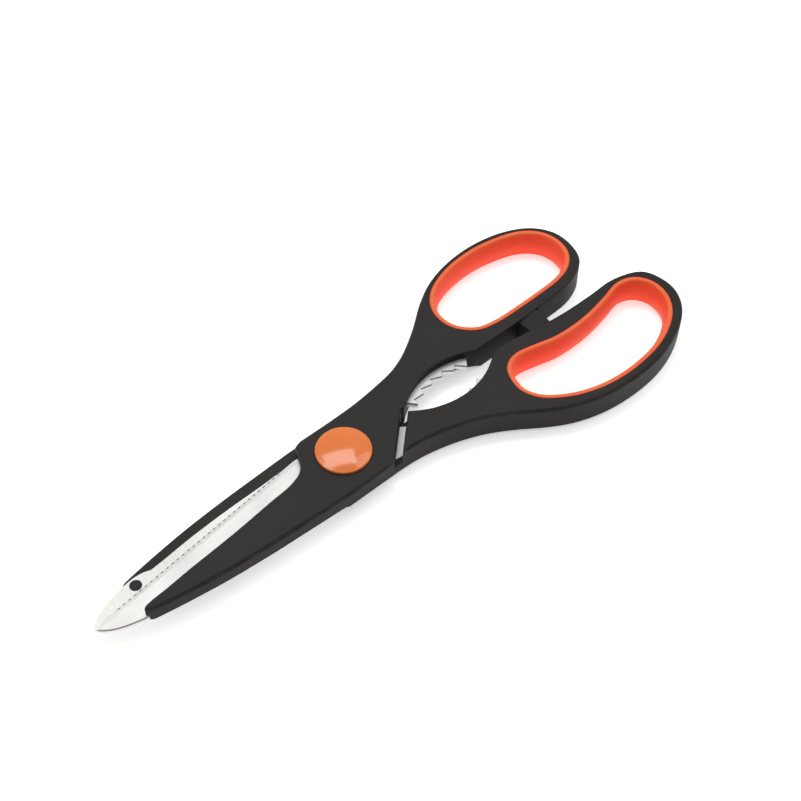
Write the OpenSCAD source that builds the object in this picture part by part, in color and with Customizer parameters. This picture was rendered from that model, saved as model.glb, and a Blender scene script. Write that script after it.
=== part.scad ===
// Poultry shears with moulded handles, a covered blade spine and a nutcracker behind the pivot.
// Frame: +X along the closed blades to the tip, +Y to the finger loop, +Z up through the pivot.
// The origin is on the pivot axis, in the plane that the closed shears lie on.
// Both halves are drawn in one "half frame": outer face up, blade spine at +Y, loop at -Y.
// The front half is used as drawn and the back half is turned over about the X axis.

/* [Halves] */
// Thickness of the closed shears through the handles
body_t = 10; // [9:0.5:12]
// Thickness of each steel blade
steel_t = 2; // [1.5:0.1:2.4]
// Running gap between the two mating faces
blade_gap = 0.1; // [0.06:0.02:0.3]

/* [Blades] */
// Distance from the pivot to the blade tip
tip_x = 89; // [86:0.5:92]
// Pitch of the scallops along the front cutting edge
scallop_pitch = 2; // [1.6:0.1:3]
// Number of scallops
scallop_count = 32; // [10:1:34]
// Radius of each scallop
scallop_r = 0.5; // [0.3:0.05:0.6]
// Distance of each scallop's centre inside the cutting edge
scallop_in = 0.15; // [0:0.05:0.4]
// Width of the ground bevel along each cutting edge
bevel_w = 2.2; // [1.6:0.1:2.6]
// Steel left at the cutting edge
edge_t = 0.4; // [0.2:0.1:0.6]
// Radius of the plastic plug that anchors each cover to its blade
plug_r = 1.85; // [1.2:0.05:2]

/* [Nutcracker] */
// Radius of the plastic wall on each side of the opening
jaw_r = 27; // [26:0.5:28]
// Number of teeth on each jaw
tooth_count = 6; // [4:1:7]
// Angle between two teeth
tooth_step = 11; // [9:0.5:11.5]
// How far the tooth tips stand out of the plastic wall
tooth_reach = 3.3; // [2:0.1:3.4]
// Depth of each tooth
tooth_depth = 1.8; // [1:0.1:2]
// Height of the flare round the opening's lower mouth
flare_h = 2.5; // [1:0.1:3]
// Extra radius of the opening at its lower mouth
flare_w = 1.6; // [0.5:0.1:2]

/* [Handles] */
// Angle of the shoulder line that ends each lap, from the X axis
lap_angle = 43.5; // [40:0.5:46]
// Distance from the pivot to the shoulder that faces the lapped body
shoulder = 17.6; // [17.2:0.1:18.5]
// Distance that the stop lug's top and bottom lie inside the handle faces
lug_inset = 1.2; // [0.5:0.1:2.5]

/* [Grips] */
// Width of the soft grip's rim at the handle faces
grip_rim = 1.7; // [1.4:0.1:2.2]
// Extra width of the grip at its middle
grip_bulge = 1; // [0:0.1:1.5]

/* [Pivot] */
// Radius of the screw's smooth shank
shank_r = 3; // [2.5:0.1:3.5]
// Radial clearance between the shank and a blade
shank_fit = 0.05; // [0.03:0.01:0.08]
// Radius of the front cap
cap_r = 8.6; // [8:0.1:9.2]
// Height of the front cap's edge above the handle
cap_edge = 0.8; // [0.4:0.1:1.5]
// Height of the front cap's centre above the handle
cap_crown = 1.9; // [1.2:0.1:2.6]
// Radius of the flush cap on the back
back_cap_r = 7; // [6.9:0.1:8]

/* [Hidden] */

$fn = 64;
curve_steps = 5;
eps = 0.01;
far = 400;

// Levels through one half, from the mating face outwards
mate_z = body_t / 2 + blade_gap / 2;
steel_top = mate_z + steel_t;

// Nutcracker
jaw_centre = [-42.5, 19.5];
first_tooth = 31;

// Cutting edge: a line from the heel to the last scallop, carried on to the tip
heel = [12, -9.6];
edge_end = [80, -1.6];
edge_angle = atan2(edge_end.y - heel.y, edge_end.x - heel.x);
first_scallop = 6.5;
bevel_lead = 2;
front_plug = [50, 5.1];
back_plug = [72, 4.9];

// Pivot stack, from the front blade's outer face to the screw head
washer_t = 0.5;
spring_t = 0.35;
spring_h = 0.65;
washer_r = 5;
head_r = 5;
head_h = 1.3;
head_z = steel_top + washer_t + spring_h;
head_pocket_r = 6.6;
cap_seat = 0.7;
cap_skirt_t = 0.8;
cap_play = 0.1;
slot_w = 1.2;
slot_d = 0.7;
thread_r = 2.45;
thread_fit = 0.05;
nut_af = 9;
nut_h = 1.9;
nut_z = body_t - steel_top - nut_h;
back_cap_t = 0.8;
back_skirt_h = 1.1;
back_skirt_r = 6.5;

// Stop lug between the handles
lug = [[-75.6, -6], [-76.4, 1.6], [-84, 2.3], [-85.6, -6]];

// Outer edge of the thumb handle, from beside the pivot round the loop to the nutcracker
thumb_edge = [[-2, -11.9], [-14, -12.3], [-26, -13.8], [-33, -15.4], [-40, -18.6], [-48.5, -24.1],
              [-57, -30.5], [-66, -35.3], [-76.5, -38.1], [-88, -38.7], [-99, -36.7], [-108, -32],
              [-113, -25], [-113.3, -17], [-109.6, -9.4], [-101, -5], [-90, -4], [-78, -3.4],
              [-66, -3.4], [-57, -3.4]];

// Outer edge of the finger handle, the same way round
finger_edge = [[-2, -11.9], [-12, -11.9], [-21, -12.5], [-31, -14.7], [-40.5, -18.3], [-49, -23.2],
               [-58, -29.4], [-66.5, -33.7], [-76.5, -36.5], [-88, -37.5], [-99.5, -36.6], [-110.5, -33.2],
               [-119.5, -27.7], [-124.3, -21], [-125, -14], [-121.5, -6.9], [-112, -3.5], [-101, -3.6],
               [-90, -3.5], [-81, -2.7], [-72, -1.5], [-64.5, -0.6], [-60, -1.4], [-56.5, -3.6]];

// Outer edge of each soft grip
thumb_loop = [[-56.7, -20.5], [-58.2, -14.3], [-63.2, -9.2], [-70.5, -7.4], [-80, -7.2], [-90, -7.4],
              [-98.5, -8], [-105, -10.2], [-109.8, -14.9], [-111.3, -21.5], [-109.4, -28], [-104, -33],
              [-96, -35.8], [-87, -37.2], [-78, -36.9], [-70, -35.1], [-63, -31.8], [-58.4, -26.8]];
finger_loop = [[-56.3, -16], [-58, -10.1], [-61.3, -6.8], [-66, -5.7], [-72.5, -6.9], [-80, -8.7],
               [-88, -9.1], [-96, -8.5], [-104, -7], [-112, -5.3], [-118.2, -7.4], [-121.5, -13],
               [-120.7, -20], [-116.5, -26], [-110, -30.3], [-102, -33.2], [-93, -34.5], [-84, -34.5],
               [-75.5, -33.1], [-67.5, -30.1], [-60.5, -25.4], [-57.2, -20.8]];

// Outer and inner edges of the blade cover
cover_outer = [[-8.7, 13], [0, 13.4], [10, 13.4], [22, 12.9], [36, 12.2], [50, 11.1], [62, 9.6], [72, 8],
               [74.6, 7.3], [75.6, 6]];
cover_inner = [[75.6, 6], [74.8, 5.3], [72.2, 4.8], [67, 4.4], [58, 3.4], [42, 2], [28, 0.3], [20.5, -0.5],
               [16.4, -1.8], [13.4, -4], [11.7, -6.6], [10.8, -9], [9.8, -11], [7.4, -11.9]];

// Spine of the blade from the tip to the pivot, with a step where it widens round the plug
spine_tip = [[tip_x, 0], [88, 1.6], [85.4, 3.6], [82, 5.1], [78.5, 6.1], [75.5, 6.8], [71.5, 7.3],
             [68.3, 7.1], [65.8, 6.3]];
spine_back = [[61, 6.7], [51, 7.8], [38, 8.6], [24, 9], [10, 9.6], [-2, 9.8], [-8, 9.2]];

// Rear edge of the tang, round its end to the first scallop
tang_edge = [[-55, -6.6], [-55.3, -9.5], [-53.5, -12.4], [-48, -13.8], [-40, -13.6], [-28, -11.8], [-14, -9.9],
             [-3, -9.2], [5, -9.45], [heel.x, heel.y]];

// A smooth curve through a list of points
function between(a, b, c, d, t) =
    0.5 * (2 * b + (c - a) * t + (2 * a - 5 * b + 4 * c - d) * t * t + (3 * b - a - 3 * c + d) * t * t * t);
function open_curve(p) = [
    for (i = [0:len(p) - 2], k = [0:curve_steps - 1])
        between(p[max(i - 1, 0)], p[i], p[i + 1], p[min(i + 2, len(p) - 1)], k / curve_steps),
    p[len(p) - 1]];
function closed_curve(p) = [
    for (i = [0:len(p) - 1], k = [0:curve_steps - 1])
        between(p[(i + len(p) - 1) % len(p)], p[i], p[(i + 1) % len(p)], p[(i + 2) % len(p)], k / curve_steps)];

// A closed outline that runs anticlockwise, moved inwards by d
function unit(v) = v / norm(v);
function inwards(p, i) =
    let (ahead = p[(i + 1) % len(p)], behind = p[(i + len(p) - 1) % len(p)], run = unit(ahead - behind))
    [-run.y, run.x];
function inset(p, d) = [for (i = [0:len(p) - 1]) p[i] + d * inwards(p, i)];

// A point on the jaw circle, a degrees from straight down
function jaw(r, a) = jaw_centre + r * [sin(a), -cos(a)];

// Edge of the toothed jaw: each tooth rises slowly and drops steeply, and the last one ends at its tip
tooth_tip_r = jaw_r - tooth_reach;
tooth_root_r = tooth_tip_r + tooth_depth;
tooth_lean = 0.75;
tooth_side = 2;
last_tooth = first_tooth - (tooth_count - 1) * tooth_step;
jaw_teeth = [
    for (i = [0:tooth_count - 2], k = [0:1])
        let (a = first_tooth - (i + (k == 0 ? 0 : 1 - tooth_lean)) * tooth_step)
        jaw(k == 0 ? tooth_tip_r : tooth_root_r, a)];
jaw_start = [-22.5, -2.2];
jaw_inner = jaw(jaw_r + 1, first_tooth + tooth_side);
jaw_outer = [jaw(tooth_tip_r, last_tooth), jaw(jaw_r + 1, last_tooth - tooth_side)];

// Everything on the far side of a line at distance d from the pivot, whose normal is turned by a
module beyond(d, a) {
    rotate(a) translate([d, -far / 2]) square([far, far]);
}

lap_normal = 90 + lap_angle;

// Turns a half over, so that its outer face looks down
module turned() {
    translate([0, 0, body_t]) rotate([180, 0, 0]) children();
}

module layer(z0, z1) {
    translate([0, 0, z0]) linear_extrude(z1 - z0) children();
}

module hole(r, z0 = -1, z1 = body_t + 4) {
    translate([0, 0, z0]) cylinder(r = r, h = z1 - z0);
}

// Outline of one steel blade with its tang and toothed jaw
module steel_outline() {
    polygon(concat(
        open_curve(spine_tip),
        open_curve(spine_back),
        [[-11, 7.2], jaw_start, jaw_inner],
        jaw_teeth,
        jaw_outer,
        open_curve(tang_edge),
        [edge_end, [85.5, -0.8]]));
}

// The steel that the bevel takes away, in the half frame
module bevel_cut() {
    translate([heel.x, heel.y, 0]) rotate([0, 0, edge_angle]) rotate([90, 0, 90])
        translate([0, 0, -bevel_lead]) linear_extrude(far) polygon([
            [bevel_w, steel_top], [bevel_w, steel_top + 1], [-3, steel_top + 1],
            [-3, mate_z + edge_t], [0, mate_z + edge_t]]);
}

module scallops() {
    for (i = [0:scallop_count - 1])
        translate([heel.x, heel.y, 0]) rotate([0, 0, edge_angle])
            translate([first_scallop + i * scallop_pitch, scallop_in, 0]) hole(scallop_r);
}

module blade(plug_at, scalloped) {
    difference() {
        layer(mate_z, steel_top) steel_outline();
        hole(shank_r + shank_fit);
        translate(plug_at) hole(plug_r);
        bevel_cut();
        if (scalloped) scallops();
    }
}

// Round the pivot and along the blade, seen from the front
module cover_outline() {
    polygon(concat(open_curve(cover_outer), open_curve(cover_inner), [[-20, -11.9], [-25, -6], [-23.6, -1.1]]));
}

module loop_outline(edge) {
    polygon(concat(open_curve(edge), [[-50, 0], [-20, -1], [-2, 0]]));
}

// Plastic of one half: a full-thickness loop and shank, and a cover over the outer face of the steel
module handle_body(edge, loop, plug_at) {
    difference() {
        union() {
            layer(mate_z, body_t) {
                cover_outline();
                loop_outline(edge);
                translate(plug_at) circle(plug_r);
            }
            layer(0, mate_z) intersection() {
                loop_outline(edge);
                beyond(shoulder, -lap_normal);
            }
        }
        translate([jaw_centre.x, jaw_centre.y, 0]) hole(jaw_r, -1, body_t + 1);
        layer(-1, body_t + 1) polygon(closed_curve(loop));
        layer(mate_z - eps, steel_top) difference() {
            steel_outline();
            translate(plug_at) circle(plug_r);
        }
        hole(head_pocket_r, mate_z, body_t + 1);
    }
}

// The opening's mouth widens from the wall at height throat to the face at height mouth
module flare(mouth, throat) {
    flip = mouth > throat ? 180 : 0;
    translate([jaw_centre.x, jaw_centre.y, mouth]) rotate([flip, 0, 0])
        cylinder(r1 = jaw_r + flare_w, r2 = jaw_r, h = abs(mouth - throat));
}

// Soft grip inside a loop, thickest at its middle
module grip(loop) {
    p = closed_curve(loop);
    profile = [[0, 0], [grip_rim - 0.5, 0], [grip_rim, 0.6],
               for (k = [1:5]) [grip_rim + grip_bulge * sin(30 * k), 0.6 + (body_t - 1.2) * k / 6],
               [grip_rim, body_t - 0.6], [grip_rim - 0.5, body_t], [0, body_t]];
    n = len(p);
    m = len(profile);
    rings = [for (q = profile) let (ring = inset(p, q.x)) for (r = ring) [r.x, r.y, q.y]];
    sides = [for (j = [0:m - 1], i = [0:n - 1])
        let (a = j * n + i, b = j * n + (i + 1) % n, c = ((j + 1) % m) * n + (i + 1) % n, d = ((j + 1) % m) * n + i)
        each [[a, b, c], [a, c, d]]];
    polyhedron(rings, sides, convexity = 6);
}

module front_blade() {
    color("silver") blade(front_plug, true);
}

module back_blade() {
    color("gainsboro") turned() blade(back_plug, false);
}

module thumb_handle() {
    color("dimgray") {
        difference() {
            handle_body(thumb_edge, thumb_loop, front_plug);
            hole(cap_r + cap_play, body_t - cap_seat);
            flare(0, flare_h);
        }
        layer(lug_inset, body_t - lug_inset) difference() {
            polygon(lug);
            loop_outline(thumb_edge);
        }
    }
}

module finger_handle() {
    color("dimgray") turned() difference() {
        union() {
            handle_body(finger_edge, finger_loop, back_plug);
            difference() {
                hole(head_pocket_r, steel_top, body_t);
                translate([0, 0, steel_top - 1]) cylinder(r = nut_af / sqrt(3) + 0.05, h = far, $fn = 6);
                hole(back_skirt_r + cap_play, body_t - back_cap_t - back_skirt_h - cap_play);
            }
        }
        hole(back_cap_r + cap_play, body_t - back_cap_t);
        flare(body_t, body_t - flare_h);
    }
}

module thumb_grip() {
    color("orangered") grip(thumb_loop);
}

module finger_grip() {
    color("orangered") turned() grip(finger_loop);
}

// Shoulder screw: its smooth shank is the pivot, and it is held by the nut at the back
module pivot_screw() {
    color("lightgray") difference() {
        union() {
            hole(head_r, head_z, head_z + head_h);
            hole(shank_r, body_t - steel_top, head_z);
            hole(thread_r, nut_z, body_t - steel_top);
        }
        translate([-head_r - 1, -slot_w / 2, head_z + head_h - slot_d])
            cube([2 * head_r + 2, slot_w, slot_d + 1]);
    }
}

module pivot_nut() {
    color("gray") translate([0, 0, nut_z]) difference() {
        cylinder(r = nut_af / sqrt(3), h = nut_h, $fn = 6);
        translate([0, 0, -1]) cylinder(r = thread_r + thread_fit, h = nut_h + 2);
    }
}

module flat_washer() {
    color("ivory") difference() {
        hole(washer_r, steel_top, steel_top + washer_t);
        hole(shank_r + shank_fit);
    }
}

// Coned spring washer that keeps the blades together
module disc_spring() {
    z0 = steel_top + washer_t;
    color("darkgray") rotate_extrude() polygon([
        [shank_r + shank_fit, z0 + spring_h - spring_t], [washer_r, z0],
        [washer_r, z0 + spring_t], [shank_r + shank_fit, z0 + spring_h]]);
}

module front_cap() {
    crown_z = body_t + cap_crown;
    edge_z = body_t + cap_edge;
    rise = crown_z - edge_z;
    dome_r = (cap_r * cap_r + rise * rise) / (2 * rise);
    skirt_r = head_pocket_r - cap_play;
    under_z = head_z + head_h + 0.2;
    color("darkorange") difference() {
        union() {
            intersection() {
                hole(cap_r, body_t - cap_seat, crown_z + 1);
                translate([0, 0, crown_z - dome_r]) sphere(r = dome_r, $fn = 128);
            }
            hole(skirt_r, body_t - cap_seat - cap_skirt_t, body_t - cap_seat);
        }
        hole(skirt_r - cap_skirt_t, 0, under_z);
    }
}

module back_cap() {
    color("darkorange") {
        hole(back_cap_r, 0, back_cap_t);
        difference() {
            hole(back_skirt_r, back_cap_t - eps, back_cap_t + back_skirt_h);
            hole(back_skirt_r - cap_skirt_t);
        }
    }
}

front_blade();
back_blade();
thumb_handle();
finger_handle();
thumb_grip();
finger_grip();
pivot_screw();
pivot_nut();
flat_washer();
disc_spring();
front_cap();
back_cap();
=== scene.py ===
"""Poultry shears: the looks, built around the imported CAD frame.

Lengths are in metres. The frame has +X to the blade tips, +Y to the finger
loop and +Z up through the pivot, and the closed shears lie on z = 0.
"""

import math

import bmesh
import bpy
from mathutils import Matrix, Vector
from mathutils.bvhtree import BVHTree
from mathutils.kdtree import KDTree


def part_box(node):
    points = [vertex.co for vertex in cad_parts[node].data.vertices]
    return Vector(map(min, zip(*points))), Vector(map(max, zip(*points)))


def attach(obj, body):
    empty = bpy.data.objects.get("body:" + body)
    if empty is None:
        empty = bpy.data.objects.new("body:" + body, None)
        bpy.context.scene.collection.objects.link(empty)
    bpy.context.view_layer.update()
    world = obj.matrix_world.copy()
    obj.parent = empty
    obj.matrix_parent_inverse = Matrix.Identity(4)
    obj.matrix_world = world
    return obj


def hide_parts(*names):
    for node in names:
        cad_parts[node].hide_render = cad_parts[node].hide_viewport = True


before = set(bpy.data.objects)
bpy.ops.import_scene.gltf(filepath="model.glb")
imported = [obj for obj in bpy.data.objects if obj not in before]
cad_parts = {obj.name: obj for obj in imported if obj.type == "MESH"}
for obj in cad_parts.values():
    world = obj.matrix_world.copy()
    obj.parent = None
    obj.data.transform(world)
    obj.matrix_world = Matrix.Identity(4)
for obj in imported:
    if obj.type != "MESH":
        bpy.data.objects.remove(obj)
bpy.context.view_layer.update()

MM = 0.001
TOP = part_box("thumb_handle")[1].z
FRONT, BACK = "front_half", "back_half"


# ---------------------------------------------------------------- materials

def new_material(name):
    mat = bpy.data.materials.new(name)
    mat.use_nodes = True
    tree = mat.node_tree
    tree.nodes.clear()
    out = tree.nodes.new("ShaderNodeOutputMaterial")
    shader = tree.nodes.new("ShaderNodeBsdfPrincipled")
    tree.links.new(shader.outputs[0], out.inputs[0])
    return mat, tree, shader


def node(tree, kind, inputs=None, **settings):
    made = tree.nodes.new(kind)
    for key, value in settings.items():
        setattr(made, key, value)
    for key, value in (inputs or {}).items():
        if isinstance(value, bpy.types.NodeSocket):
            tree.links.new(value, made.inputs[key])
        else:
            made.inputs[key].default_value = value
    return made


def noise(tree, scale, stretch=(1, 1, 1), detail=3.0, roughness=0.5):
    """Noise with features 1/scale metres across, longer along the axes where stretch is small."""
    coords = node(tree, "ShaderNodeTexCoord")
    place = node(tree, "ShaderNodeMapping", {"Vector": coords.outputs["Object"], "Scale": stretch})
    made = node(tree, "ShaderNodeTexNoise", {
        "Vector": place.outputs[0], "Scale": scale, "Detail": detail, "Roughness": roughness})
    return made.outputs[0]


def spread(tree, value, low, high, start=0.3, end=0.7):
    """Maps a value from start..end to low..high."""
    made = node(tree, "ShaderNodeMapRange", {
        "Value": value, "From Min": start, "From Max": end, "To Min": low, "To Max": high})
    return made.outputs[0]


def tint(tree, value, dark, light):
    ramp = node(tree, "ShaderNodeValToRGB", {"Fac": value})
    ramp.color_ramp.elements[0].position = 0.3
    ramp.color_ramp.elements[1].position = 0.7
    ramp.color_ramp.elements[0].color = (*dark, 1)
    ramp.color_ramp.elements[1].color = (*light, 1)
    return ramp.outputs[0]


def blend_colours(tree, factor, first, second):
    mix = node(tree, "ShaderNodeMix", {0: factor, 6: first, 7: second}, data_type="RGBA")
    return mix.outputs[2]


def edge_wear_and_light(tree, scale, most, least=0.0):
    """How worn a spot is, and on the grips how much painted rim light it gets: the mesh says where the
    edges are, and noise breaks it up.
    """
    painted = node(tree, "ShaderNodeAttribute", attribute_name="wear_and_light").outputs["Fac"]
    patches = spread(tree, noise(tree, scale, detail=4), least, most, 0.35, 0.65)
    return node(tree, "ShaderNodeMath", {0: painted, 1: patches}, operation="MULTIPLY").outputs[0]


def bump(tree, height, distance, strength):
    made = node(tree, "ShaderNodeBump", {
        "Height": height, "Distance": distance, "Strength": strength})
    return made.outputs[0]


def steel(name, dark, light, smooth, rough, stretch, depth):
    """Stainless steel with grinding lines drawn out along one axis."""
    mat, tree, shader = new_material(name)
    lines = noise(tree, 900, stretch, 4, 0.65)
    cloud = noise(tree, 55, detail=2)
    tree.links.new(tint(tree, lines, dark, light), shader.inputs["Base Color"])
    tree.links.new(spread(tree, cloud, smooth, rough), shader.inputs["Roughness"])
    tree.links.new(bump(tree, lines, depth, 0.5), shader.inputs["Normal"])
    shader.inputs["Metallic"].default_value = 1.0
    return mat


# Where the edges' dark band of painted shade begins and where it is full
SHADE_FROM, SHADE_FULL = 1.15 * MM, 1.30 * MM  # distance from the plane where the blades meet


def painted_edge_steel():
    """The steel's upright edges: a painted highlight near the other blade, with a dark band of painted
    shade beside the outer face.
    """
    mat, tree, shader = new_material("blade_steel_edge")
    lines = noise(tree, 900, (1, 1, 3), 4, 0.65)
    place = node(tree, "ShaderNodeTexCoord").outputs["Object"]
    height = node(tree, "ShaderNodeSeparateXYZ", {"Vector": place}).outputs["Z"]
    above = node(tree, "ShaderNodeMath", {0: height, 1: TOP / 2}, operation="SUBTRACT")
    away = node(tree, "ShaderNodeMath", {0: above.outputs[0]}, operation="ABSOLUTE")
    shade_band = spread(tree, away.outputs[0], 0.0, 1.0, SHADE_FROM, SHADE_FULL)
    # Painted shade for the band beside the outer face, and a painted highlight for the rest of the edge
    painted_shade = tint(tree, lines, (0.16, 0.155, 0.145), (0.30, 0.29, 0.27))
    painted_highlight = tint(tree, lines, (0.70, 0.695, 0.685), (0.84, 0.835, 0.825))
    tree.links.new(blend_colours(tree, shade_band, painted_highlight, painted_shade), shader.inputs["Base Color"])
    tree.links.new(spread(tree, lines, 0.42, 0.54), shader.inputs["Roughness"])
    tree.links.new(bump(tree, lines, 0.006 * MM, 0.5), shader.inputs["Normal"])
    shader.inputs["Metallic"].default_value = 1.0
    return mat


def handle_plastic():
    """Black polypropylene with a fine spark-eroded texture, greyer where hands rub its edges."""
    mat, tree, shader = new_material("handle_plastic")
    grain = noise(tree, 3200, detail=2, roughness=0.6)
    cloud = noise(tree, 38)
    black = tint(tree, cloud, (0.0135, 0.0122, 0.0106), (0.0175, 0.0158, 0.0138))
    rubbed = blend_colours(tree, edge_wear_and_light(tree, 160, 0.8), black, (0.040, 0.039, 0.037, 1))
    tree.links.new(rubbed, shader.inputs["Base Color"])
    tree.links.new(spread(tree, grain, 0.46, 0.60), shader.inputs["Roughness"])
    tree.links.new(bump(tree, grain, 0.012 * MM, 0.5), shader.inputs["Normal"])
    shader.inputs["Specular IOR Level"].default_value = 0.18
    return mat


def grip_rubber():
    """Soft red-orange elastomer, painted paler and more orange on the rims as a painted top light,
    broken up by noise.
    """
    mat, tree, shader = new_material("grip_rubber")
    grain = noise(tree, 2400, detail=2, roughness=0.55)
    cloud = noise(tree, 60)
    orange = tint(tree, cloud, (0.90, 0.080, 0.022), (0.95, 0.092, 0.028))
    # The paler, more orange rim colour is painted light on the lit tops of the rims
    lit_rims = blend_colours(tree, edge_wear_and_light(tree, 220, 1.0, 0.5), orange, (0.76, 0.180, 0.044, 1))
    tree.links.new(lit_rims, shader.inputs["Base Color"])
    tree.links.new(spread(tree, grain, 0.50, 0.64), shader.inputs["Roughness"])
    tree.links.new(bump(tree, grain, 0.01 * MM, 0.4), shader.inputs["Normal"])
    shader.inputs["Specular IOR Level"].default_value = 0.35
    return mat


def cap_plastic():
    """Glossy orange ABS with the faint waviness of a moulded dome."""
    mat, tree, shader = new_material("cap_plastic")
    ripple = noise(tree, 210, detail=1)
    cloud = noise(tree, 90, detail=2)
    orange = tint(tree, cloud, (0.74, 0.165, 0.022), (0.78, 0.185, 0.028))
    rubbed = blend_colours(tree, edge_wear_and_light(tree, 400, 0.7), orange, (0.80, 0.30, 0.11, 1))
    tree.links.new(rubbed, shader.inputs["Base Color"])
    tree.links.new(spread(tree, cloud, 0.09, 0.13), shader.inputs["Roughness"])
    tree.links.new(bump(tree, ripple, 0.012 * MM, 0.5), shader.inputs["Normal"])
    return mat


def washer_nylon():
    mat, tree, shader = new_material("washer_nylon")
    cloud = noise(tree, 400, detail=2)
    ivory = tint(tree, cloud, (0.72, 0.70, 0.62), (0.80, 0.78, 0.70))
    tree.links.new(ivory, shader.inputs["Base Color"])
    tree.links.new(spread(tree, cloud, 0.40, 0.50), shader.inputs["Roughness"])
    return mat


def pale_floor():
    """Nearly white, with a slight glow of its own so that it comes out as white as the photograph's."""
    mat, tree, shader = new_material("pale_floor")
    cloud = noise(tree, 4, detail=2)
    white = tint(tree, cloud, (0.93, 0.93, 0.93), (0.94, 0.94, 0.94))
    tree.links.new(white, shader.inputs["Base Color"])
    shader.inputs["Roughness"].default_value = 0.9
    shader.inputs["Specular IOR Level"].default_value = 0.1
    shader.inputs["Emission Color"].default_value = (1, 1, 1, 1)
    shader.inputs["Emission Strength"].default_value = 0.5
    return mat


# Grinding lines run along the blade on its outer face and across it on the inner face and the bevel
STEEL_OUTER = steel("blade_steel_outer", (0.51, 0.506, 0.497), (0.61, 0.604, 0.594),
                    0.50, 0.58, (0.22, 6, 1), 0.003 * MM)
STEEL_INNER = steel("blade_steel_inner", (0.50, 0.50, 0.485), (0.61, 0.61, 0.592),
                    0.50, 0.58, (6, 0.22, 1), 0.004 * MM)
STEEL_EDGE = painted_edge_steel()
# The bevel's steel is painted brighter than the faces: a painted highlight
STEEL_BEVEL = steel("blade_steel_bevel", (0.74, 0.735, 0.725), (0.84, 0.835, 0.825),
                    0.50, 0.60, (4, 0.5, 1), 0.004 * MM)
# Nearly black steel for the sheets of painted shade in the scallops
STEEL_PAINTED_SHADE = steel("blade_steel_painted_shade", (0.05, 0.049, 0.047), (0.10, 0.098, 0.094),
                     0.46, 0.56, (1, 1, 3), 0.004 * MM)
TURNED = steel("turned_steel", (0.50, 0.50, 0.51), (0.62, 0.62, 0.62),
               0.26, 0.34, (1, 1, 6), 0.004 * MM)
BLACK = handle_plastic()
RUBBER = grip_rubber()
ORANGE = cap_plastic()
NYLON = washer_nylon()


# ---------------------------------------------------------------- mesh helpers

LEVEL = 2e-6  # two points this close in height are on one level
UPRIGHT = 0.35  # an upright wall's normal rises less than this
MITRE_LIMIT = 0.65  # keeps sharp corners from reaching further than 1 / this
THINNEST_SHARE = 0.42  # the most of a thin wall's width that a fillet takes
FILLET_ANGLES = (0, 15, 30, 45, 60, 75)
TURNED_SIDES = 96


def cad_mesh(name):
    """A CAD node's mesh with its coplanar triangles joined into whole faces."""
    bm = bmesh.new()
    bm.from_mesh(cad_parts[name].data)
    bmesh.ops.remove_doubles(bm, verts=bm.verts, dist=0.5e-6)
    bmesh.ops.dissolve_limit(bm, angle_limit=math.radians(0.4), verts=bm.verts, edges=bm.edges)
    return bm


def smooth_by_angle(bm, degrees=35):
    bm.normal_update()
    for face in bm.faces:
        face.smooth = True
    for edge in bm.edges:
        edge.smooth = len(edge.link_faces) == 2 and edge.calc_face_angle(0) < math.radians(degrees)


def add_piece(bm, name, body, materials, stands_for):
    mesh = bpy.data.meshes.new(name)
    bm.to_mesh(mesh)
    bm.free()
    for material in materials:
        mesh.materials.append(material)
    piece = bpy.data.objects.new(name, mesh)
    bpy.context.scene.collection.objects.link(piece)
    weighted = piece.modifiers.new("weighted_normals", "WEIGHTED_NORMAL")
    weighted.keep_sharp = True
    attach(piece, body)
    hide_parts(*stands_for)


def weld_short_rims(bm, levels, shortest=0.1 * MM):
    """Joins the upright walls whose edge at a level face is too short to round."""
    for z in levels:
        for edge in [e for e in bm.edges if all(abs(v.co.z - z) < LEVEL for v in e.verts)]:
            kept, gone = edge.verts
            if 1e-7 < (kept.co - gone.co).length < shortest:
                x, y = gone.co.x, gone.co.y
                for v in bm.verts:
                    if math.hypot(v.co.x - x, v.co.y - y) < LEVEL:
                        v.co.x, v.co.y = kept.co.x, kept.co.y
    bmesh.ops.remove_doubles(bm, verts=bm.verts, dist=1e-7)


def wall_normals(bm):
    """For each vertex of an upright wall: its outward direction and how much further a mitre reaches."""
    walls = {}
    for v in bm.verts:
        flats = [Vector((f.normal.x, f.normal.y, 0)).normalized()
                 for f in v.link_faces if abs(f.normal.z) < UPRIGHT]
        total = sum(flats, Vector())
        if total.length > 0.1:
            out = total.normalized()
            walls[v] = (out, 1 / max(MITRE_LIMIT, min(out.dot(n) for n in flats)))
    return walls


def rim_sizes(walls, solid, z, side, radius, share):
    """The fillet radius at each vertex of the rims on one level.

    It is evened out along the rims, then reduced wherever it would turn an edge round.
    """
    rim = {v for v in walls if abs(v.co.z - z) < LEVEL}
    size = {}
    for v in rim:
        out, _ = walls[v]
        start = Vector((v.co.x, v.co.y, z + side * 0.4 * MM)) - out * 0.03 * MM
        hit = solid.ray_cast(start, -out)
        width = hit[3] if hit[0] is not None else 1.0
        size[v] = min(radius * share(v.co.x, v.co.y, out), THINNEST_SHARE * width)
    links = {v: [e.other_vert(v) for e in v.link_edges
                 if e.other_vert(v) in rim and any(abs(f.normal.z) < UPRIGHT for f in e.link_faces)]
             for v in rim}
    for _ in range(4):
        size = {v: (s + sum(size[o] for o in links[v])) / (1 + len(links[v])) for v, s in size.items()}
    for _ in range(40):
        flipped = set()
        for v in rim:
            for o in links[v]:
                old = o.co - v.co
                new = old - walls[o][0] * walls[o][1] * size[o] + walls[v][0] * walls[v][1] * size[v]
                if new.dot(old) < 0.3 * old.length_squared:
                    flipped.update((v, o))
        if not flipped:
            break
        for v in flipped:
            size[v] *= 0.85
    return size


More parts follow.
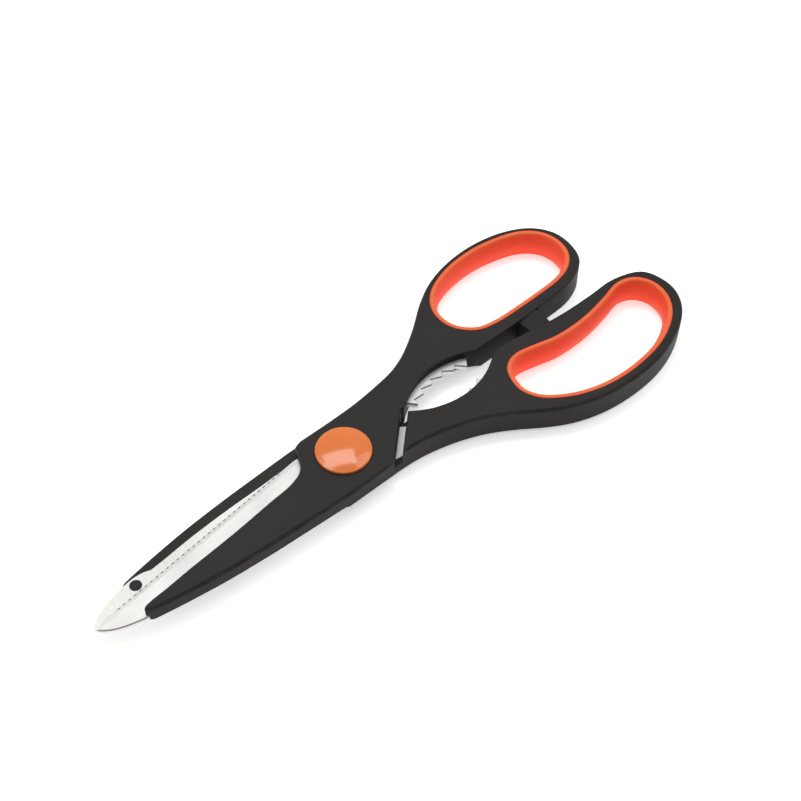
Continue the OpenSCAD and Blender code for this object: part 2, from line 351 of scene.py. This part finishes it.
def round_rims(bm, rims, share):
    """Rounds the edges where upright walls meet a level face.

    rims lists (face height, side the solid lies on: -1 below or 1 above, radius).
    share(x, y, outward) says how much of that radius a wall gets. The radius also
    shrinks where the solid behind a wall is thin. Only the upper rims get wear.
    """
    wear_and_light = bm.verts.layers.float.new("wear_and_light")
    weld_short_rims(bm, [z for z, _, _ in rims])
    solid = BVHTree.FromBMesh(bm)
    for z, side, radius in rims:
        for angle in FILLET_ANGLES:
            geom = bm.verts[:] + bm.edges[:] + bm.faces[:]
            level = z + side * radius * (1 - math.sin(math.radians(angle)))
            bmesh.ops.bisect_plane(bm, geom=geom, dist=1e-7,
                                   plane_co=(0, 0, level), plane_no=(0, 0, 1))
    bm.normal_update()
    walls = wall_normals(bm)
    moves = []
    for z, side, radius in rims:
        size = rim_sizes(walls, solid, z, side, radius, share)
        columns = list(size)
        tree = KDTree(len(columns))
        for i, v in enumerate(columns):
            tree.insert((v.co.x, v.co.y, 0), i)
        tree.balance()
        for v in walls:
            depth = (v.co.z - z) * side
            if not -1e-7 <= depth < radius - 1e-7:
                continue
            _, i, gap = tree.find((v.co.x, v.co.y, 0))
            if gap > LEVEL:
                continue
            s = size[columns[i]]
            out, mitre = walls[columns[i]]
            d = depth * s / radius
            inset = s - math.sqrt(max(0.0, s * s - (s - d) ** 2))
            worn_and_lit = 0.0
            if side < 0:
                worn_and_lit = math.sin(math.pi * depth / radius) * min(1.0, s / (0.6 * MM))
            moves.append((v, -out * inset * mitre, z + side * d, worn_and_lit))
    for v, move, z, worn_and_lit in moves:
        v.co += move
        v.co.z = z
        v[wear_and_light] = worn_and_lit


def lathe(name, body, material, profile, stands_for):
    """Turns a closed profile of (radius, z, wear) round the Z axis; its ends may lie on the axis."""
    bm = bmesh.new()
    wear_and_light = bm.verts.layers.float.new("wear_and_light")
    rings = []
    for r, z, worn_and_lit in profile:
        ring = []
        for k in range(1 if r == 0 else TURNED_SIDES):
            turn = math.tau * k / TURNED_SIDES
            v = bm.verts.new((r * math.cos(turn), r * math.sin(turn), z))
            v[wear_and_light] = worn_and_lit
            ring.append(v)
        rings.append(ring)
    for low, high in zip(rings, rings[1:] + rings[:1]):
        if len(low) == 1 and len(high) == 1:
            continue
        for k in range(TURNED_SIDES):
            n = k + 1
            corners = []
            for v in (low[k % len(low)], low[n % len(low)], high[n % len(high)], high[k % len(high)]):
                if v not in corners:
                    corners.append(v)
            bm.faces.new(corners)
    bmesh.ops.recalc_face_normals(bm, faces=bm.faces)
    smooth_by_angle(bm)
    add_piece(bm, name, body, [material], stands_for)


# ---------------------------------------------------------------- handles

RIM_TOP = 1.3 * MM
RIM_BOTTOM = 2.0 * MM
CAP_RECESS = 9.2 * MM  # the walls nearer the pivot than this hold the cap and stay sharp
GRIP_SEAT = 1.3 * MM  # so do the walls this near a soft grip
INNER_SHARE = 0.2  # of the rim radius, on the sides where the two handles meet

# The rounding rule changes along the handle: over the blade in front of COVER_X, beside
# the pivot from there to SHANK_X, then along the shank, where inner walls that face back
# stay nearly sharp as far as STEP_X
COVER_X, SHANK_X, STEP_X = 16 * MM, -8 * MM, -26 * MM

LUG_X = -60 * MM
LUG_INSET = 1.2 * MM
LUG_ROUND = 0.22 * MM


def ramp(value, start, end):
    t = max(0.0, min(1.0, (value - start) / (end - start)))
    return t * t * (3 - 2 * t)


def handle(name, grip, body, inner):
    """inner is +1 or -1: the Y direction that the loop's inner side faces."""
    bm = cad_mesh(name)
    grip_points = KDTree(len(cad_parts[grip].data.vertices))
    for i, v in enumerate(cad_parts[grip].data.vertices):
        grip_points.insert((v.co.x, v.co.y, 0), i)
    grip_points.balance()
    low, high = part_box(grip)
    loop = (low + high) / 2

    def share(x, y, out):
        here = Vector((x, y, 0))
        if here.length < CAP_RECESS and here.dot(out) < 0:
            return 0.0
        if grip_points.find(here)[2] < GRIP_SEAT and (loop - here).dot(out) > 0:
            return 0.0
        if x > COVER_X:
            return 1 - (1 - INNER_SHARE) * ramp(-out.y * inner, -0.3, 0.1)
        if x > SHANK_X:
            return 1.0
        facing = out.y * inner + 0.6 * max(out.x, 0)
        if x > STEP_X and y * inner > 0 and out.x < -0.5:
            facing = 1.0
        return 1 - (1 - INNER_SHARE) * ramp(facing, 0.1, 0.5)

    round_rims(bm, [(TOP, -1, RIM_TOP), (0.0, 1, RIM_BOTTOM)], share)
    soften_lug(bm)
    smooth_by_angle(bm)
    add_piece(bm, name + "_shell", body, [BLACK], [name])


def soften_lug(bm):
    """Takes the sharp edges off the stop lug, whose level faces lie LUG_INSET inside the handle's."""
    levels = (LUG_INSET, TOP - LUG_INSET)

    def on_lug(v):
        return v.co.x < LUG_X and any(abs(v.co.z - z) < LEVEL for z in levels)

    bm.normal_update()
    edges = [e for e in bm.edges if all(on_lug(v) for v in e.verts) and e.is_convex]
    if edges:
        bmesh.ops.bevel(bm, geom=edges, offset=LUG_ROUND, segments=2, profile=0.5, affect="EDGES")


handle("thumb_handle", "thumb_grip", FRONT, 1)
handle("finger_handle", "finger_grip", BACK, -1)


# ---------------------------------------------------------------- soft grips

GRIP_RIM = 1.7 * MM
GRIP_BULGE = 1.0 * MM
GRIP_ROUND = 0.75 * MM
GRIP_GROOVE = 0.22 * MM
GRIP_WALL_STEPS = 16


def grip_outline(name):
    """The outer edge of a grip as an anticlockwise list of (x, y)."""
    bm = bmesh.new()
    bm.from_mesh(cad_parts[name].data)
    bmesh.ops.remove_doubles(bm, verts=bm.verts, dist=0.5e-6)
    bm.normal_update()
    beside = {}
    for edge in bm.edges:
        level = all(abs(v.co.z) < LEVEL for v in edge.verts)
        if level and any(abs(f.normal.z) < 0.3 for f in edge.link_faces):
            first, second = edge.verts
            beside.setdefault(first, []).append(second)
            beside.setdefault(second, []).append(first)
    start = min(beside, key=lambda v: (v.co.x, v.co.y))
    chain = [start, beside[start][0]]
    while True:
        ahead = [v for v in beside[chain[-1]] if v is not chain[-2]][0]
        if ahead is start:
            break
        chain.append(ahead)
    points = [Vector((v.co.x, v.co.y, 0)) for v in chain]
    bm.free()
    area = sum(a.x * b.y - b.x * a.y for a, b in zip(points, points[1:] + points[:1]))
    return points if area > 0 else points[::-1]


def grip_profile():
    """(inset, z, painted rim light) round a grip's section, from the outer wall over the top rim to the
    bottom.
    """
    half = [(0.0, GRIP_GROOVE, 0.0), (0.3 * GRIP_GROOVE, 0.3 * GRIP_GROOVE, 0.0),
            (GRIP_GROOVE, 0.0, 0.2)]
    flat_end = GRIP_RIM - GRIP_ROUND
    half.append(((GRIP_GROOVE + flat_end) / 2, 0.0, 0.6))
    for a in (0, 15, 30, 45, 60, 75, 90):
        t = math.radians(a)
        half.append((flat_end + GRIP_ROUND * math.sin(t), GRIP_ROUND * (1 - math.cos(t)),
                     1 - a / 90 * 0.8))
    top = [(inset, TOP - drop, worn_and_lit) for inset, drop, worn_and_lit in half]
    wall = []
    for k in range(1, GRIP_WALL_STEPS):
        t = k / GRIP_WALL_STEPS
        z = TOP - GRIP_ROUND - t * (TOP - 2 * GRIP_ROUND)
        wall.append((GRIP_RIM + GRIP_BULGE * math.sin(math.pi * t), z, 0.0))
    return top + wall + half[::-1]


def grip(name, body):
    points = grip_outline(name)
    inward = []
    for before, after in zip(points[-1:] + points[:-1], points[1:] + points[:1]):
        along = (after - before).normalized()
        inward.append(Vector((-along.y, along.x, 0)))
    bm = bmesh.new()
    # On the grips this attribute holds painted light on the rims
    wear_and_light = bm.verts.layers.float.new("wear_and_light")
    rings = []
    for inset, z, worn_and_lit in grip_profile():
        ring = []
        for point, way in zip(points, inward):
            v = bm.verts.new((point + way * inset) + Vector((0, 0, z)))
            v[wear_and_light] = worn_and_lit
            ring.append(v)
        rings.append(ring)
    for low, high in zip(rings, rings[1:] + rings[:1]):
        for k in range(len(points)):
            n = (k + 1) % len(points)
            bm.faces.new((low[k], low[n], high[n], high[k]))
    bmesh.ops.recalc_face_normals(bm, faces=bm.faces)
    smooth_by_angle(bm, 50)
    add_piece(bm, name + "_moulding", body, [RUBBER], [name])


grip("thumb_grip", FRONT)
grip("finger_grip", BACK)


# ---------------------------------------------------------------- blades

BLADE_ROUND = 0.14 * MM
# The fourth material is the nearly black steel of the painted shade in the scallops
OUTER, INNER, EDGE, SHADE_SHEET, BEVEL = range(5)  # the order of a blade's materials
STEELS = [STEEL_OUTER, STEEL_INNER, STEEL_EDGE, STEEL_PAINTED_SHADE, STEEL_BEVEL]
EDGE_SLOPE, BEVEL_SLOPE = 0.6, 0.93  # the most that an edge's or a bevel's normal rises
BEVEL_FACE = 20 * MM * MM  # the bevel is the one large slanted face

# The cutting edge and its scallops, as in the CAD model
HEEL, EDGE_END = Vector((12 * MM, -9.6 * MM, 0)), Vector((80 * MM, -1.6 * MM, 0))
FIRST_SCALLOP, SCALLOP_PITCH, SCALLOPS = 6.5 * MM, 2.0 * MM, 32
SCALLOP_R, SCALLOP_IN = 0.5 * MM, 0.15 * MM
SHADE_SHEET_T = 0.3 * MM
SHADE_SHEET_LAP = 0.02 * MM  # how far a floor reaches into the steel round it
SHADE_SHEET_STEPS = 6  # on each side of a floor's middle


def shade_sheets(bm, floor):
    """Closes each scallop with a thin dark floor: a sheet of painted shade that makes the scallop read
    dark.
    """
    along = (EDGE_END - HEEL).normalized()
    inward = Vector((-along.y, along.x, 0))
    radius = SCALLOP_R + SHADE_SHEET_LAP
    half = math.acos(-SCALLOP_IN / radius)
    corners = 2 * SHADE_SHEET_STEPS + 1
    for i in range(SCALLOPS):
        centre = HEEL + along * (FIRST_SCALLOP + i * SCALLOP_PITCH) + inward * SCALLOP_IN
        rings = []
        for z in (floor, floor + SHADE_SHEET_T):
            ring = []
            for k in range(corners):
                a = half * (k / SHADE_SHEET_STEPS - 1)
                spot = centre + along * (radius * math.sin(a)) + inward * (radius * math.cos(a))
                ring.append(bm.verts.new((spot.x, spot.y, z)))
            rings.append(ring)
        low, high = rings
        made = [bm.faces.new(low), bm.faces.new(high[::-1])]
        for k in range(corners):
            n = (k + 1) % corners
            made.append(bm.faces.new((low[n], low[k], high[k], high[n])))
        bmesh.ops.recalc_face_normals(bm, faces=made)
        for face in made:
            face.material_index = SHADE_SHEET


def blade(name, body, outward, scalloped):
    """outward is +1 or -1: the Z direction that the blade's outer face looks in."""
    bm = cad_mesh(name)
    low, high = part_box(name)
    outer_rim = (high.z, -1, BLADE_ROUND) if outward > 0 else (low.z, 1, BLADE_ROUND)
    round_rims(bm, [outer_rim], lambda x, y, out: 1.0)
    bm.normal_update()
    for face in bm.faces:
        rise = abs(face.normal.z)
        if rise < EDGE_SLOPE:
            face.material_index = EDGE
        elif rise < BEVEL_SLOPE and face.calc_area() > BEVEL_FACE:
            face.material_index = BEVEL
        else:
            face.material_index = OUTER if face.normal.z * outward > 0 else INNER
    # Scalloped blades get sheets of painted shade in their scallops
    if scalloped:
        shade_sheets(bm, low.z)
    smooth_by_angle(bm, 30)
    add_piece(bm, name + "_ground", body, STEELS, [name])


blade("front_blade", FRONT, 1, True)
blade("back_blade", BACK, -1, False)


# ---------------------------------------------------------------- caps

SKIRT, SKIRT_WALL = 6.5 * MM, 0.8 * MM
DOME_RINGS = 12


def front_cap():
    low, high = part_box("front_cap")
    radius, edge_round = high.x, 0.35 * MM
    edge_z, seat_z, under_z = TOP + 0.8 * MM, TOP - 0.7 * MM, TOP - 0.7 * MM + 0.2 * MM
    rise = high.z - edge_z
    dome = (radius ** 2 + rise ** 2) / (2 * rise)
    profile = [(0.0, high.z, 0.0)]
    for k in range(1, DOME_RINGS + 1):
        r = (radius - edge_round) * k / DOME_RINGS
        profile.append((r, high.z - dome + math.sqrt(dome ** 2 - r ** 2), 0.0))
    top = profile[-1][1]
    for a in (20, 45, 70, 90):
        t = math.radians(a)
        r = radius - edge_round * (1 - math.sin(t))
        profile.append((r, top - edge_round * (1 - math.cos(t)), math.sin(2 * t)))
    inside = SKIRT - SKIRT_WALL
    profile += [(radius, seat_z, 0.0), (SKIRT, seat_z, 0.0), (SKIRT, low.z, 0.0),
                (inside, low.z, 0.0), (inside, under_z, 0.0), (0.0, under_z, 0.0)]
    lathe("front_cap_dome", FRONT, ORANGE, profile, ["front_cap"])


def back_cap():
    low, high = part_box("back_cap")
    radius, edge_round, flat_margin, plate = high.x, 0.3 * MM, 1.5 * MM, 0.8 * MM
    profile = [(0.0, low.z, 0.0), (radius - flat_margin, low.z, 0.0)]
    for a in (0, 30, 60, 90):
        t = math.radians(a)
        r = radius - edge_round * (1 - math.sin(t))
        profile.append((r, low.z + edge_round * (1 - math.cos(t)), math.sin(2 * t)))
    inside = SKIRT - SKIRT_WALL
    profile += [(radius, plate, 0.0), (SKIRT, plate, 0.0), (SKIRT, high.z, 0.0),
                (inside, high.z, 0.0), (inside, plate, 0.0), (0.0, plate, 0.0)]
    lathe("back_cap_disc", BACK, ORANGE, profile, ["back_cap"])


front_cap()
back_cap()


# ---------------------------------------------------------------- CAD nodes that are kept

def paint(name, material):
    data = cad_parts[name].data
    data.materials.clear()
    data.materials.append(material)


for part in ("pivot_screw", "pivot_nut", "disc_spring"):
    paint(part, TURNED)
paint("flat_washer", NYLON)


# ---------------------------------------------------------------- floor, light and camera

AZIMUTH, PITCH = math.radians(139.2), math.radians(51.5)
CAMERA_AT = (0.1494, 0.1991, 0.3465)
LENS, SENSOR = 62.92, 36  # millimetres
AWAY = Vector((-math.sin(AZIMUTH), math.cos(AZIMUTH), 0))  # level, from the camera past the shears
RIGHT = Vector((math.cos(AZIMUTH), math.sin(AZIMUTH), 0))

FLOOR_SIZE = 60.0
FLOOR_DROP = 0.02 * MM
WORLD_DIM, WORLD_BRIGHT = 0.24, 1.0


def studio():
    mesh = bpy.data.meshes.new("floor")
    bm = bmesh.new()
    bmesh.ops.create_grid(bm, x_segments=1, y_segments=1, size=FLOOR_SIZE / 2)
    bm.to_mesh(mesh)
    bm.free()
    mesh.materials.append(pale_floor())
    floor = bpy.data.objects.new("floor", mesh)
    floor.location.z = -FLOOR_DROP
    bpy.context.scene.collection.objects.link(floor)

    # White walls and ceiling, with the room behind the camera left dim
    world = bpy.data.worlds.new("studio")
    world.use_nodes = True
    tree = world.node_tree
    background = tree.nodes["Background"]
    background.inputs["Color"].default_value = (1.0, 0.995, 0.985, 1)
    way = node(tree, "ShaderNodeTexCoord").outputs["Generated"]
    far = AWAY * 0.75 + Vector((0, 0, 0.66))
    facing = node(tree, "ShaderNodeVectorMath", {0: way, 1: far}, operation="DOT_PRODUCT")
    strength = spread(tree, facing.outputs["Value"], WORLD_DIM, WORLD_BRIGHT, 0.0, 0.75)
    tree.links.new(strength, background.inputs["Strength"])
    bpy.context.scene.world = world

    def soft_box(name, height, turn, distance, width, depth, radiance):
        """A soft box of even brightness: height is its elevation, turn is to the camera's right."""
        up, aside = math.radians(height), math.radians(turn)
        level = AWAY * math.cos(aside) + RIGHT * math.sin(aside)
        way = level * math.cos(up) + Vector((0, 0, math.sin(up)))
        light = bpy.data.lights.new(name, "AREA")
        light.shape = "RECTANGLE"
        light.size, light.size_y = width, depth
        light.energy = radiance * math.pi * width * depth
        lamp = bpy.data.objects.new(name, light)
        lamp.location = way * distance
        lamp.rotation_euler = (-way).to_track_quat("-Z", "Y").to_euler()
        bpy.context.scene.collection.objects.link(lamp)

    soft_box("key", 66, -14, 0.7, 0.36, 0.22, 5.0)
    soft_box("side", 62, 48, 0.8, 0.30, 0.30, 2.2)


def camera():
    """At the photograph's viewing angle."""
    data = bpy.data.cameras.new("camera")
    data.sensor_width = SENSOR
    data.lens = LENS
    data.clip_start = 0.01
    cam = bpy.data.objects.new("camera", data)
    cam.location = CAMERA_AT
    look = AWAY * math.cos(PITCH) - Vector((0, 0, math.sin(PITCH)))
    cam.rotation_euler = look.to_track_quat("-Z", "Y").to_euler()
    bpy.context.scene.collection.objects.link(cam)
    bpy.context.scene.camera = cam


studio()
camera()
bpy.context.scene.view_settings.view_transform = "Standard"
